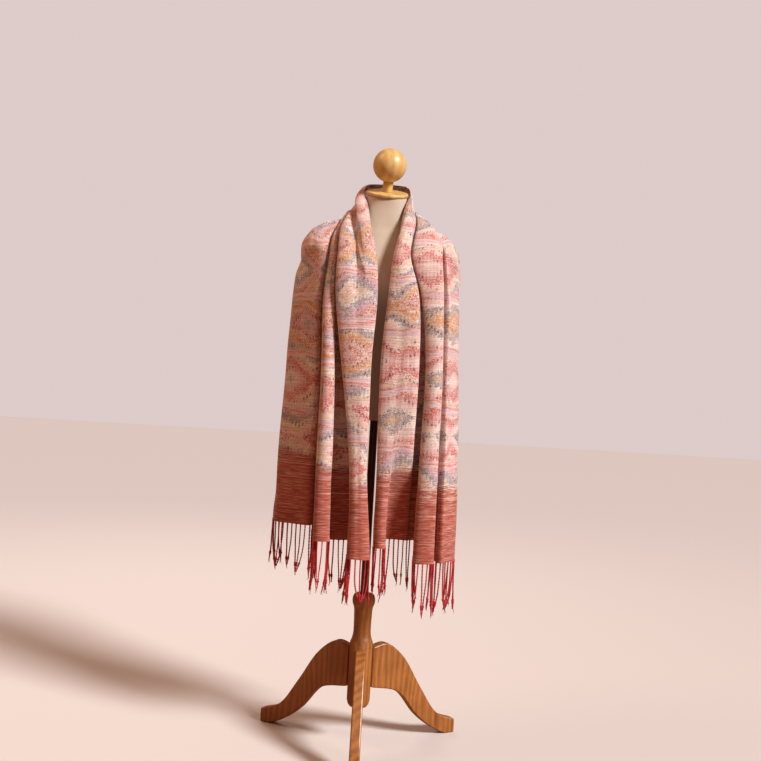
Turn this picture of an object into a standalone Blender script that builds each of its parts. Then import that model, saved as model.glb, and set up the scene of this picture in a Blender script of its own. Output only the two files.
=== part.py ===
"""A fringed woven shawl draped over a dress form on a three-legged wooden stand.

Metres, +Z up, the front faces -Y. Everything is built about the pole, whose axis is the local
line x = 0, y = 0, and then hung from one empty that puts the middle of the footprint at the origin.
The cloth is one rectangle. Its lines run from the left hem over the left shoulder, round the back
of the neck and down to the right hem; a section crosses them from the neck selvedge to the outer one.
"""

import math

import bmesh
import bpy
import numpy as np

# Cloth. The neck selvedge returns behind fold 1, and the outer one turns back round the side.
CLOTH_THICK = 0.0016
SEAM_GAP = 0.0003
CLOTH_GAP = 0.0009
NECK_HOOK = 0.004
NECK_RETURN = 0.030
OVER_HOOK = -0.002
OVER_RETURN_SHARE = 0.6
EDGE_ROUND = 0.010
EDGE_ROUND_SHARE = 0.4
UNDERCUT = 0.055
LIP_MIDDLE = 0.56
CREST3_SET_BACK = 1.5
FACE_SHARE = 0.55
FLOOR_BOW = 0.003
FACE_BULGE = 0.005
SIDE_TURN = (0.004, 0.045)
SIDE_SELVEDGE = (-0.016, 0.080)
OVER_TURN_SHARE = 0.7
OVER_SELVEDGE_SHARE = 0.5
BODY_MIDDLE_Y = 0.020
OVER_RISE = 0.120
LINE_STEPS = 12
STEPS_ACROSS = 2

# Fringe. A strand's bends are the shares of its sway that it gains at each joint, and the rhythm
# is how fast its sway sideways, its sway forward and its length change from strand to strand.
FRINGE_LENGTH = 0.122
FRINGE_COUNT = 50
STRAND_THICK = 0.0032
STRAND_BENDS = (0.25, 0.75)
STRAND_SWAY = 0.006
STRAND_RHYTHM = (0.70, 0.45, 1.90)
LENGTH_SPREAD = 0.06
STRIP_HIGH = 0.004
STRIP_THICK = 0.002
STRIP_DROP = 0.0007

# Dress form
NECK_TILT = math.radians(18)
NECK_LEAN = math.radians(2)
NECK_TOP = 1.430
NECK_ROOT = 1.356
TORSO_SIDES = 32
TORSO_SQUARE = 2.4
BUST_RISE = 0.020
BUST_SIDE = 0.068
BUST_HEIGHT = 1.185
BUST_SPREAD = 0.050
TURNED_SIDES = 32
CAP_RADIUS = 0.0545
CAP_THICK = 0.010
CAP_STEPS = 4
POST_RADIUS = 0.013
POST_HIGH = 0.026
BALL_RADIUS = 0.043
BALL_FLAT = 0.0125
BALL_STEPS = 12

# Stand
POLE_RADIUS = 0.0105
HUB_TOP = 0.395
LEG_REACH = 0.300
LEG_WIDTH = 0.026
LEG_TURNS = tuple(math.radians(turn) for turn in (-90, 30, 150))
LEG_SEAT = 0.0303
BACK_REACH = LEG_REACH * math.sin(LEG_TURNS[1]) + LEG_WIDTH / 2 * math.cos(LEG_TURNS[1])
POLE_Y = (LEG_REACH - BACK_REACH) / 2
SHARP_ANGLE = math.radians(50)
TINY = 1e-6

# Colours and finishes: red, green, blue, roughness, metallic
FINISHES = {
    "woven_cloth": (0.62, 0.30, 0.22, 0.85, 0.0),
    "red_cord": (0.30, 0.02, 0.03, 0.80, 0.0),
    "form_cover": (0.74, 0.68, 0.58, 0.60, 0.0),
    "pale_wood": (0.72, 0.48, 0.20, 0.40, 0.0),
    "stand_wood": (0.50, 0.28, 0.10, 0.45, 0.0),
    "dark_metal": (0.08, 0.06, 0.06, 0.35, 0.9),
}

# Half width, front and back depth of the form at each height
TORSO_COLUMNS = ("height", "half", "front", "back")
TORSO_RINGS = (
    (0.848, 0.146, 0.072, 0.090),
    (0.858, 0.155, 0.079, 0.100),
    (0.900, 0.164, 0.085, 0.108),
    (0.960, 0.160, 0.086, 0.106),
    (1.020, 0.138, 0.084, 0.090),
    (1.070, 0.122, 0.082, 0.078),
    (1.110, 0.127, 0.085, 0.080),
    (1.160, 0.142, 0.091, 0.087),
    (1.200, 0.152, 0.092, 0.092),
    (1.240, 0.161, 0.086, 0.093),
    (1.266, 0.171, 0.079, 0.089),
    (1.291, 0.177, 0.068, 0.080),
    (1.309, 0.163, 0.060, 0.076),
    (1.325, 0.139, 0.0543, 0.072),
    (1.340, 0.109, 0.050, 0.066),
    (1.357, 0.083, 0.048, 0.062),
    (1.379, 0.0655, 0.047, 0.058),
    (1.404, 0.0565, 0.047, 0.053),
    (1.430, 0.0515, 0.0495, 0.0495),
)

# Sections of the two fronts, hem first. Each fold has an inner and an outer edge, measured outward
# from the middle; crests, groove floors and the outline are measured forward. Drop is how much lower
# the outer selvedge hangs than the section's height, and dip is the tuck in the middle of fold 1.
FRONT_COLUMNS = (
    "height", "in1", "out1", "in2", "out2", "in3", "out3",
    "crest1", "crest2", "crest3", "floor1", "floor2", "outline", "drop", "dip",
)
LEFT_FRONT = (
    (0.540, -0.008, 0.047, 0.094, 0.133, 0.140, 0.239, 0.150, 0.144, 0.085, 0.080, 0.066, 0.040, 0.00, 0.000),
    (0.655, 0.006, 0.049, 0.097, 0.134, 0.141, 0.238, 0.152, 0.146, 0.087, 0.083, 0.067, 0.039, 0.01, 0.000),
    (0.762, 0.012, 0.056, 0.100, 0.135, 0.142, 0.237, 0.154, 0.147, 0.088, 0.085, 0.068, 0.038, 0.02, 0.000),
    (0.998, 0.015, 0.088, 0.107, 0.136, 0.144, 0.231, 0.156, 0.147, 0.095, 0.100, 0.076, 0.030, 0.04, 0.000),
    (1.158, 0.010, 0.110, 0.116, 0.143, 0.150, 0.226, 0.152, 0.130, 0.096, 0.118, 0.080, 0.020, 0.07, 0.004),
    (1.264, 0.020, 0.112, 0.118, 0.134, 0.142, 0.219, 0.128, 0.091, 0.078, 0.085, 0.064, 0.004, 0.10, 0.016),
)
RIGHT_FRONT = (
    (0.530, 0.014, 0.100, 0.117, 0.166, 0.174, 0.219, 0.148, 0.150, 0.106, 0.080, 0.084, 0.060, 0.00, 0.000),
    (0.665, 0.010, 0.100, 0.118, 0.164, 0.172, 0.218, 0.150, 0.151, 0.107, 0.086, 0.085, 0.058, 0.01, 0.000),
    (0.775, 0.009, 0.100, 0.120, 0.162, 0.170, 0.217, 0.152, 0.152, 0.107, 0.094, 0.086, 0.056, 0.02, 0.000),
    (0.998, 0.010, 0.102, 0.121, 0.160, 0.165, 0.205, 0.155, 0.152, 0.102, 0.100, 0.084, 0.044, 0.04, 0.000),
    (1.158, 0.019, 0.093, 0.101, 0.154, 0.162, 0.200, 0.151, 0.145, 0.092, 0.118, 0.076, 0.026, 0.07, 0.000),
    (1.264, 0.027, 0.067, 0.074, 0.146, 0.154, 0.196, 0.126, 0.118, 0.070, 0.092, 0.058, 0.008, 0.10, 0.000),
)

# Low on the right front the outer part of fold 1 falls back in a step. Shares of the fold's width at
# the step's lip and foot, and its depth, for each section in turn.
FALL_COLUMNS = ("lip", "foot", "fall")
NO_FALL = (0.50, 0.72, 0.000)
LEFT_FALLS = (NO_FALL,) * len(LEFT_FRONT)
RIGHT_FALLS = ((0.33, 0.31, 0.060), (0.35, 0.34, 0.042), (0.40, 0.52, 0.004)) + (NO_FALL,) * 3

# Stretches of hem, neck selvedge first: how many of a section's knots lie in each, and its height
LEFT_HEM = ((6, 0.508), (3, 0.542), (3, 0.546), (2, 0.560), (4, 0.576), (2, 0.580))
RIGHT_HEM = ((4, 0.538), (5, 0.552), (3, 0.506), (2, 0.504), (4, 0.503), (2, 0.500))

# Share of the drop at each knot of a section, neck selvedge first
DROP_SHARES = (0,) * 14 + (0.04, 0.08, 0.20, 0.42, 0.72, 1.0)

# Sections over the chest and shoulder and down the back follow the form: each has a line that lies
# on it, outward and back from the neck, and folds measured along that line and lifted from it.
OVER_COLUMNS = (
    "in1", "out1", "in2", "out2", "in3", "out3", "turn", "selvedge",
    "crest1", "crest2", "crest3", "floor1", "floor2", "outline", "dip",
)
CHEST_LINE = (
    (0.043, -0.038, 1.392), (0.055, -0.040, 1.364), (0.075, -0.041, 1.340), (0.120, -0.048, 1.311),
    (0.155, -0.048, 1.282), (0.180, -0.034, 1.260), (0.194, -0.004, 1.240), (0.199, 0.022, 1.216),
    (0.196, 0.050, 1.190),
)
SHOULDER_LINE = (
    (0.056, 0.000, 1.438), (0.062, 0.002, 1.392), (0.080, 0.002, 1.366), (0.120, 0.000, 1.341),
    (0.165, 0.000, 1.315), (0.188, 0.012, 1.290), (0.199, 0.038, 1.262), (0.202, 0.060, 1.232),
    (0.198, 0.080, 1.200),
)
BLADE_LINE = (
    (0.044, 0.042, 1.464), (0.052, 0.056, 1.412), (0.068, 0.080, 1.362), (0.098, 0.096, 1.300),
    (0.134, 0.108, 1.248), (0.160, 0.113, 1.203), (0.176, 0.113, 1.155),
)
NAPE_LINE = (
    (0.000, 0.060, 1.472), (0.000, 0.066, 1.420), (0.000, 0.086, 1.370), (0.000, 0.100, 1.300),
    (0.000, 0.108, 1.220), (0.000, 0.112, 1.130), (0.000, 0.114, 1.040), (0.000, 0.114, 0.980),
)
LEFT_OVER = (
    (CHEST_LINE, (
        0.003, 0.096, 0.104, 0.124, 0.136, 0.222, 0.270, 0.306,
        0.030, 0.012, 0.022, 0.004, 0.002, 0.024, 0.018)),
    (SHOULDER_LINE, (
        0.004, 0.062, 0.070, 0.094, 0.106, 0.215, 0.260, 0.305,
        0.024, 0.027, 0.016, 0.003, 0.003, 0.027, 0.014)),
    (BLADE_LINE, (
        0.003, 0.064, 0.082, 0.150, 0.172, 0.262, 0.305, 0.345,
        0.020, 0.036, 0.034, 0.004, 0.004, 0.026, 0.006)),
)
NAPE = (NAPE_LINE, (
    0.003, 0.068, 0.092, 0.196, 0.222, 0.360, 0.415, 0.462,
    0.014, 0.040, 0.040, 0.004, 0.004, 0.030, 0.000))
RIGHT_OVER = (
    (CHEST_LINE, (
        0.003, 0.050, 0.058, 0.136, 0.146, 0.218, 0.266, 0.306,
        0.020, 0.028, 0.014, 0.0065, 0.003, 0.008, 0.000)),
    (SHOULDER_LINE, (
        0.004, 0.052, 0.062, 0.100, 0.112, 0.202, 0.254, 0.305,
        0.010, 0.018, 0.007, 0.004, 0.002, 0.007, 0.000)),
    (BLADE_LINE, (
        0.003, 0.060, 0.078, 0.146, 0.168, 0.260, 0.303, 0.345,
        0.012, 0.036, 0.030, 0.004, 0.004, 0.022, 0.000)),
)

# Rows of the finished cloth between one section and the next, left hem to the middle of the back
STEPS_ALONG = (2, 2, 3, 3, 3, 3, 3, 4, 4)
FRONT_STEPS = sum(STEPS_ALONG[:7])

# Radius and height of the hub
HUB_PROFILE = (
    (0.0000, 0.395), (0.0240, 0.395), (0.0290, 0.385), (0.0290, 0.370), (0.0245, 0.358),
    (0.0235, 0.350), (0.0225, 0.300), (0.0250, 0.282), (0.0300, 0.268), (0.0300, 0.120),
    (0.0240, 0.104), (0.0100, 0.098), (0.0000, 0.098),
)

# Outline of a leg, from the hub outward: distance from its seat on the hub, and height
LEG_LONG = LEG_REACH - LEG_SEAT
LEG_TOP = (
    (0.000, 0.255), (0.041, 0.262), (0.093, 0.225), (0.154, 0.135), (0.211, 0.060),
    (LEG_LONG, 0.036),
)
LEG_UNDER = (
    (LEG_LONG, 0.000), (0.243, 0.000), (0.222, 0.008), (0.186, 0.028), (0.144, 0.062),
    (0.082, 0.130), (0.000, 0.150),
)
LEG_STEPS = 3


def named(columns, values):
    return dict(zip(columns, values))


def clear_scene():
    for obj in list(bpy.data.objects):
        bpy.data.objects.remove(obj)


def material(name):
    found = bpy.data.materials.get(name)
    if found:
        return found
    red, green, blue, roughness, metallic = FINISHES[name]
    made = bpy.data.materials.new(name)
    made.use_nodes = True
    shader = made.node_tree.nodes["Principled BSDF"]
    shader.inputs["Base Color"].default_value = (red, green, blue, 1)
    shader.inputs["Roughness"].default_value = roughness
    shader.inputs["Metallic"].default_value = metallic
    return made


def empty(name, parent, location, rotation):
    made = bpy.data.objects.new(name, None)
    bpy.context.scene.collection.objects.link(made)
    made.parent = parent
    made.location = location
    made.rotation_euler = rotation
    return made


def place(name, mesh, finish, parent, turn=0.0):
    obj = bpy.data.objects.new(name, mesh)
    bpy.context.scene.collection.objects.link(obj)
    obj.parent = parent
    obj.rotation_euler = (0, 0, turn)
    if not mesh.materials:
        mesh.materials.append(material(finish))
        mesh.shade_smooth()
        mesh.set_sharp_from_angle(angle=SHARP_ANGLE)


def mesh_of(name, points, faces):
    mesh = bpy.data.meshes.new(name)
    mesh.from_pydata([tuple(map(float, p)) for p in points], [], faces)
    mesh.update()
    return mesh


def mesh_from(name, shape):
    mesh = bpy.data.meshes.new(name)
    bmesh.ops.recalc_face_normals(shape, faces=shape.faces)
    shape.to_mesh(mesh)
    shape.free()
    return mesh


def spline(points, steps):
    """Points on a centripetal Catmull-Rom curve through points, steps[i] of them from one to the next."""
    points = np.asarray(points, float)
    ends = (2 * points[0] - points[1], 2 * points[-1] - points[-2])
    through = np.vstack([ends[0], points, ends[1]])
    gaps = np.sqrt(np.maximum(np.linalg.norm(np.diff(through, axis=0), axis=1), TINY))
    knots = np.concatenate([[0], np.cumsum(gaps)])
    found = []
    for i, count in enumerate(steps):
        p0, p1, p2, p3 = through[i : i + 4]
        t0, t1, t2, t3 = knots[i : i + 4]
        for t in np.linspace(t1, t2, count, endpoint=False):
            a1 = ((t1 - t) * p0 + (t - t0) * p1) / (t1 - t0)
            a2 = ((t2 - t) * p1 + (t - t1) * p2) / (t2 - t1)
            a3 = ((t3 - t) * p2 + (t - t2) * p3) / (t3 - t2)
            b1 = ((t2 - t) * a1 + (t - t0) * a2) / (t2 - t0)
            b2 = ((t3 - t) * a2 + (t - t1) * a3) / (t3 - t1)
            found.append(((t2 - t) * b1 + (t - t1) * b2) / (t2 - t1))
    found.append(points[-1])
    return np.array(found)


def fold_knots(row, neck_hook, neck_return):
    """Where each line of the cloth crosses a section: (outward, forward) pairs, neck selvedge first."""
    in1, out1, in2, out2, in3, out3 = (row[k] for k in ("in1", "out1", "in2", "out2", "in3", "out3"))
    floor1, floor2 = row["floor1"], row["floor2"]
    crest1, crest2, crest3 = row["crest1"], row["crest2"], row["crest3"]
    wide1, back1 = out1 - in1, crest1 - row["fall"]
    round1, round_lip, round1_outer, round2, round2_outer, round3 = (
        min(EDGE_ROUND, EDGE_ROUND_SHARE * depth)
        for depth in (
            crest1 - floor1, row["fall"], back1 - floor1,
            crest2 - floor1, crest2 - floor2, crest3 - floor2,
        )
    )
    return [
        (in1 + neck_hook, crest1 - round1 - neck_return),
        (in1, crest1 - round1),
        (in1 + LIP_MIDDLE * row["lip"] * wide1, crest1),
        (in1 + row["lip"] * wide1, crest1 - round_lip - row["dip"]),
        (in1 + row["foot"] * wide1, back1),
        (out1, back1 - round1_outer),
        (out1 - UNDERCUT * (back1 - floor1), floor1),
        ((out1 + in2) / 2, floor1 - FLOOR_BOW),
        (in2 + UNDERCUT * (crest2 - floor1), floor1),
        (in2, crest2 - round2),
        ((in2 + out2) / 2, crest2),
        (out2, crest2 - round2_outer),
        (out2 - UNDERCUT * (crest2 - floor2), floor2),
        (in3 + UNDERCUT * (crest3 - floor2), floor2),
        (in3, crest3 - round3),
        (in3 + CREST3_SET_BACK * round3, crest3),
        (in3 + FACE_SHARE * (out3 - in3), (crest3 + row["outline"]) / 2 + FACE_BULGE),
        (out3, row["outline"]),
    ]


def front_section(side, row, hem=None):
    """Knots of a front section in space. A hem section takes its heights from the hem's own row."""
    flat = fold_knots(row, NECK_HOOK, NECK_RETURN)
    flat.append((row["out3"] + SIDE_TURN[0], row["outline"] - SIDE_TURN[1]))
    flat.append((row["out3"] + SIDE_SELVEDGE[0], row["outline"] - SIDE_SELVEDGE[1]))
    if hem:
        heights = [high for count, high in hem for _ in range(count)]
    else:
        heights = [row["height"] - row["drop"] * share for share in DROP_SHARES]
    return [(side * out, -forward, up) for (out, forward), up in zip(flat, heights)]


def unit(vectors):
    return vectors / np.linalg.norm(vectors, axis=-1, keepdims=True)


def run_along(points):
    """Length along a row of points, up to each of them."""
    return np.concatenate([[0], np.cumsum(np.linalg.norm(np.diff(points, axis=0), axis=1))])


def over_section(side, line, values):
    """Knots of a section that lies along line, a row of points on the form, and is lifted from it."""
    row = named(OVER_COLUMNS + FALL_COLUMNS, values + NO_FALL)
    path = spline(line, [LINE_STEPS] * (len(line) - 1)) * (side, 1, 1)
    run = run_along(path)
    flat = fold_knots(row, OVER_HOOK, OVER_RETURN_SHARE * row["crest1"] - FLOOR_BOW)
    flat.append((row["turn"], OVER_TURN_SHARE * row["outline"]))
    flat.append((row["selvedge"], OVER_SELVEDGE_SHARE * row["outline"]))
    tangent = unit(np.gradient(path, run, axis=0))
    away = path - (0, BODY_MIDDLE_Y, 0)
    away[:, 2] = OVER_RISE
    away = unit(away - tangent * (away * tangent).sum(axis=1, keepdims=True))
    knots = []
    for out, lift in flat:
        spot = [np.interp(out, run, path[:, k]) for k in range(3)]
        lean = [np.interp(out, run, away[:, k]) for k in range(3)]
        knots.append(tuple(s + lift * n for s, n in zip(spot, lean)))
    return knots


def half_sections(side, front, falls, hem, over):
    """Sections of one half of the cloth, hem first."""
    rows = [named(FRONT_COLUMNS + FALL_COLUMNS, values + fall) for values, fall in zip(front, falls)]
    sections = [front_section(side, rows[0], hem)]
    sections += [front_section(side, row) for row in rows[1:]]
    return sections + [over_section(side, line, values) for line, values in over]


def cloth_grid(steps_along=STEPS_ALONG, steps_across=STEPS_ACROSS):
    """Points of the cloth's middle surface, [along, across, xyz], left hem to right hem."""
    left = half_sections(-1, LEFT_FRONT, LEFT_FALLS, LEFT_HEM, LEFT_OVER)
    right = half_sections(1, RIGHT_FRONT, RIGHT_FALLS, RIGHT_HEM, RIGHT_OVER)
    sections = np.array(left + [over_section(1, *NAPE)] + right[::-1])
    steps = list(steps_along) + list(steps_along)[::-1]
    lines = np.stack([spline(sections[:, k], steps) for k in range(sections.shape[1])], axis=1)
    return np.array([spline(row, [steps_across] * (len(row) - 1)) for row in lines])


def grid_normals(grid):
    """Unit normals of the cloth, pointing to the side that shows."""
    along = np.gradient(grid, axis=0)
    across = np.gradient(grid, axis=1)
    return unit(np.cross(across, along))


def wall(name, grid, normals, finish, parent):
    """A closed wall on both sides of a grid of points."""
    rows, columns = grid.shape[:2]
    half = CLOTH_THICK / 2
    points = np.concatenate([grid + normals * half, grid - normals * half]).reshape(-1, 3)
    under = rows * columns

    def at(i, j):
        return i * columns + j

    faces = []
    for i in range(rows - 1):
        for j in range(columns - 1):
            a, b, c, d = at(i, j), at(i, j + 1), at(i + 1, j + 1), at(i + 1, j)
            first = np.linalg.norm(grid[i, j] - grid[i + 1, j + 1])
            second = np.linalg.norm(grid[i, j + 1] - grid[i + 1, j])
            for face in ((a, b, d), (b, c, d)) if second < first else ((a, b, c), (a, c, d)):
                faces.append(face)
                faces.append(tuple(under + k for k in face[::-1]))
    border = [at(0, j) for j in range(columns)] + [at(i, columns - 1) for i in range(1, rows)]
    border += [at(rows - 1, j) for j in range(columns - 2, -1, -1)]
    border += [at(i, 0) for i in range(rows - 2, 0, -1)]
    for a, b in zip(border, border[1:] + border[:1]):
        faces.append((b, a, under + a, under + b))
    place(name, mesh_of(name, points, faces), finish, parent)


def make_shawl(parent):
    grid = cloth_grid()
    normals = grid_normals(grid)
    cuts = (0, FRONT_STEPS, len(grid) - 1 - FRONT_STEPS, len(grid) - 1)
    for name, start, end in zip(("shawl_left_front", "shawl_back", "shawl_right_front"), cuts, cuts[1:]):
        part = grid[start : end + 1].copy()
        for edge, inward in ((0, 1), (-1, -1)):
            step = np.cross(normals[(start, end)[edge]], np.gradient(part[edge], axis=0))
            part[edge] += inward * unit(step) * CLOTH_GAP / 2
        wall(name, part, normals[start : end + 1], "woven_cloth", parent)
    make_fringe("fringe_left", grid[0], normals[0], parent)
    make_fringe("fringe_right", grid[-1], normals[-1], parent)


def make_fringe(name, hem, normals, parent):
    """A narrow strip just below a hem, with the strands drawn out of its underside."""
    run = run_along(hem)
    middles = run[-1] / FRINGE_COUNT * (np.arange(FRINGE_COUNT) + 0.5)
    marks = [(m - STRAND_THICK / 2, True) for m in middles]
    marks += [(m + STRAND_THICK / 2, False) for m in middles]
    marks += [(s, False) for s in run if min(abs(s - middles)) > STRAND_THICK]
    marks.sort()
    rims, strands = [], []
    for s, starts in marks:
        spot = np.array([np.interp(s, run, hem[:, k]) for k in range(3)])
        lean = np.array([np.interp(s, run, normals[:, k]) for k in range(2)] + [0])
        lean = unit(lean) * STRIP_THICK / 2
        top, bottom = spot - (0, 0, STRIP_DROP), spot - (0, 0, STRIP_DROP + STRIP_HIGH)
        if starts:
            strands.append(len(rims))
        rims.append([top + lean, top - lean, bottom - lean, bottom + lean])
    shape = bmesh.new()
    rings = [[shape.verts.new(p) for p in rim] for rim in rims]
    undersides = []
    for a, b in zip(rings, rings[1:]):
        for k in range(4):
            face = shape.faces.new((a[k], a[(k + 1) % 4], b[(k + 1) % 4], b[k]))
            if k == 2:
                undersides.append(face)
    shape.faces.new(rings[0][::-1])
    shape.faces.new(rings[-1])
    for number, index in enumerate(strands):
        draw_strand(shape, undersides[index], number)
    place(name, mesh_from(name, shape), "red_cord", parent)


def strand_sway(number):
    """How far sideways and forward a strand's end swings, and how long it is."""
    side, front, length = (math.sin(pace * number) for pace in STRAND_RHYTHM)
    return STRAND_SWAY * side, STRAND_SWAY * front, FRINGE_LENGTH * (1 + LENGTH_SPREAD * length)


def draw_strand(shape, face, number):
    side, front, length = strand_sway(number)
    for bend in STRAND_BENDS:
        made = bmesh.ops.extrude_face_region(shape, geom=[face])
        bmesh.ops.delete(shape, geom=[face], context="FACES")
        face = next(g for g in made["geom"] if isinstance(g, bmesh.types.BMFace))
        for vert in face.verts:
            vert.co.x += side * bend
            vert.co.y += front * bend
            vert.co.z -= length / len(STRAND_BENDS)


def tilted(point, centre, tilt, lean):
    """point turned about centre, forward by tilt and sideways by lean."""
    x, y, z = point[0], point[1], point[2] - centre
    y, z = y * math.cos(tilt) - z * math.sin(tilt), y * math.sin(tilt) + z * math.cos(tilt)
    x, z = x * math.cos(lean) + z * math.sin(lean), -x * math.sin(lean) + z * math.cos(lean)
    return x, y, z + centre


def torso_point(ring, angle):
    power = 2 / TORSO_SQUARE
    c, s = math.cos(angle), math.sin(angle)
    x = ring["half"] * math.copysign(abs(c) ** power, c)
    depth = ring["front"] if s < 0 else ring["back"]
    y = depth * math.copysign(abs(s) ** power, s)
    if s < 0:
        away = math.hypot(abs(x) - BUST_SIDE, ring["height"] - BUST_HEIGHT) / BUST_SPREAD
        y -= BUST_RISE * math.exp(-away ** 2) * abs(s)
    share = max(0.0, (ring["height"] - NECK_ROOT) / (NECK_TOP - NECK_ROOT))
    return tilted((x, y, ring["height"]), ring["height"], NECK_TILT * share, NECK_LEAN * share)


def make_torso(parent):
    rings = [named(TORSO_COLUMNS, values) for values in TORSO_RINGS]
    angles = [2 * math.pi * k / TORSO_SIDES for k in range(TORSO_SIDES)]
    points = [torso_point(ring, angle) for ring in rings for angle in angles]
    faces = []
    for i in range(len(rings) - 1):
        for k in range(TORSO_SIDES):
            a, b = i * TORSO_SIDES + k, i * TORSO_SIDES + (k + 1) % TORSO_SIDES
            faces.append((a, b, b + TORSO_SIDES, a + TORSO_SIDES))
    faces.append(tuple(range(TORSO_SIDES - 1, -1, -1)))
    last = (len(rings) - 1) * TORSO_SIDES
    faces.append(tuple(last + k for k in range(TORSO_SIDES)))
    place("form_torso", mesh_of("form_torso", points, faces), "form_cover", parent)


def turned(name, profile, finish, parent):
    """A solid turned about its own Z from (radius, height) pairs, top first."""
    shape = bmesh.new()
    verts = [shape.verts.new((r, 0, z)) for r, z in profile]
    edges = [shape.edges.new(pair) for pair in zip(verts, verts[1:])]
    bmesh.ops.spin(shape, geom=verts + edges, cent=(0, 0, 0), axis=(0, 0, 1), angle=2 * math.pi,
                   steps=TURNED_SIDES, use_duplicate=False)
    bmesh.ops.remove_doubles(shape, verts=shape.verts, dist=TINY)
    bmesh.ops.holes_fill(shape, edges=[e for e in shape.edges if e.is_boundary])
    place(name, mesh_from(name, shape), finish, parent)


def make_finial(parent):
    neck = empty("neck_axis", parent, (0, 0, NECK_TOP), (NECK_TILT, NECK_LEAN, 0))
    base = SEAM_GAP
    rim = CAP_THICK / 2
    angles = np.linspace(0, math.pi, CAP_STEPS + 1)
    cap = [(CAP_RADIUS - rim * (1 - math.sin(a)), base + rim * (1 + math.cos(a))) for a in angles]
    turned("neck_cap", cap, "pale_wood", neck)
    foot = base + CAP_THICK + SEAM_GAP
    turned("finial_post", [(POST_RADIUS, foot + POST_HIGH), (POST_RADIUS, foot)], "pale_wood", neck)
    flat = math.acos(BALL_FLAT / BALL_RADIUS)
    centre = foot + POST_HIGH + SEAM_GAP + BALL_RADIUS * math.sin(flat)
    angles = np.linspace(math.pi / 2, -flat, BALL_STEPS + 1)[1:]
    ball = [(0.0, centre + BALL_RADIUS)]
    ball += [(BALL_RADIUS * math.cos(a), centre + BALL_RADIUS * math.sin(a)) for a in angles]
    turned("finial_ball", ball, "pale_wood", neck)


def leg_mesh():
    outline = np.vstack([spline(side, [LEG_STEPS] * (len(side) - 1)) for side in (LEG_TOP, LEG_UNDER)])
    outline[:, 1] = np.maximum(outline[:, 1], 0)
    count = len(outline)
    points = [(LEG_SEAT + r, y, z) for y in (LEG_WIDTH / 2, -LEG_WIDTH / 2) for r, z in outline]
    faces = [tuple(range(count)), tuple(range(2 * count - 1, count - 1, -1))]
    faces += [(k, count + k, count + (k + 1) % count, (k + 1) % count) for k in range(count)]
    return mesh_of("leg", points, faces)


def make_stand(parent):
    pole_top = named(TORSO_COLUMNS, TORSO_RINGS[0])["height"] - SEAM_GAP
    pole_foot = HUB_TOP + SEAM_GAP
    turned("pole", [(POLE_RADIUS, pole_top), (POLE_RADIUS, pole_foot)], "dark_metal", parent)
    turned("hub", HUB_PROFILE, "stand_wood", parent)
    mesh = leg_mesh()
    for number, turn in enumerate(LEG_TURNS, 1):
        place(f"leg_{number}", mesh, "stand_wood", parent, turn)


def main():
    clear_scene()
    axis = empty("pole_axis", None, (0, POLE_Y, 0), (0, 0, 0))
    make_torso(axis)
    make_finial(axis)
    make_stand(axis)
    make_shawl(axis)


main()
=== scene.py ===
"""A fringed woven shawl over a dress form: fine cloth, fringe, form, wood and metal, and the light.

Metres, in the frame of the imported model. Everything hangs from the pole, whose axis stands at
x = 0, y = POLE_Y. The cloth is worked out from the sections of its solids, on a finer grid: rows
run from the left hem over the shoulders to the right hem, columns from the neck selvedge out.
"""

import math

import bpy
import numpy as np
from mathutils import Euler, Matrix, Vector

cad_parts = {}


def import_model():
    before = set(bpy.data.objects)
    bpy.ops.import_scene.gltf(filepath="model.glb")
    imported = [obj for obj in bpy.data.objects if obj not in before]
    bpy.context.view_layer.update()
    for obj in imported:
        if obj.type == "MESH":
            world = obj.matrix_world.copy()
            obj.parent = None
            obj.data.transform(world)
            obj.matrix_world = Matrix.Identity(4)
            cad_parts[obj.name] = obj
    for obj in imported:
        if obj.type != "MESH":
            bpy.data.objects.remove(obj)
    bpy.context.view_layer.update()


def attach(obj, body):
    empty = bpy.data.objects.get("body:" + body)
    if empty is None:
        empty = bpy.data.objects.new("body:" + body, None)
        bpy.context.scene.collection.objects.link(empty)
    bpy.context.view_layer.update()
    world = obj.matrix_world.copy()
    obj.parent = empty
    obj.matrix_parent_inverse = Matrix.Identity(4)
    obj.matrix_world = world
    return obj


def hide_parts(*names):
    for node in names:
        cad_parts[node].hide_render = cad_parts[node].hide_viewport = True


# Camera
CAMERA_PLACE = (0.0104, -2.6, 0.95)
CAMERA_ROLL = math.radians(3.3)
CAMERA_LENS = 47.3
SENSOR = 36.0

# Cloth: flat size, thickness, and the fine grid's steps in each stretch between two sections
CLOTH_WIDE = 0.60
CLOTH_LONG = 2.10
CLOTH_THICK = 0.0011
BAND_HIGH = 0.183
FINE_ALONG = (20, 16, 34, 34, 34, 34, 34, 46, 46)
FINE_ACROSS = 11
FRONT_ROWS = sum(FINE_ALONG[:7])

# Creases and sags fade in tight folds, which are found by comparing the normals this many steps to
# each side and blurring the result; they also fade at the selvedges and toward their own ends
FOLD_REACH = 4
FOLD_BLUR = 6
EDGE_FADE = 0.8
CREASE_TAPER = 0.7
SAG_TAPER = 1.5

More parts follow.
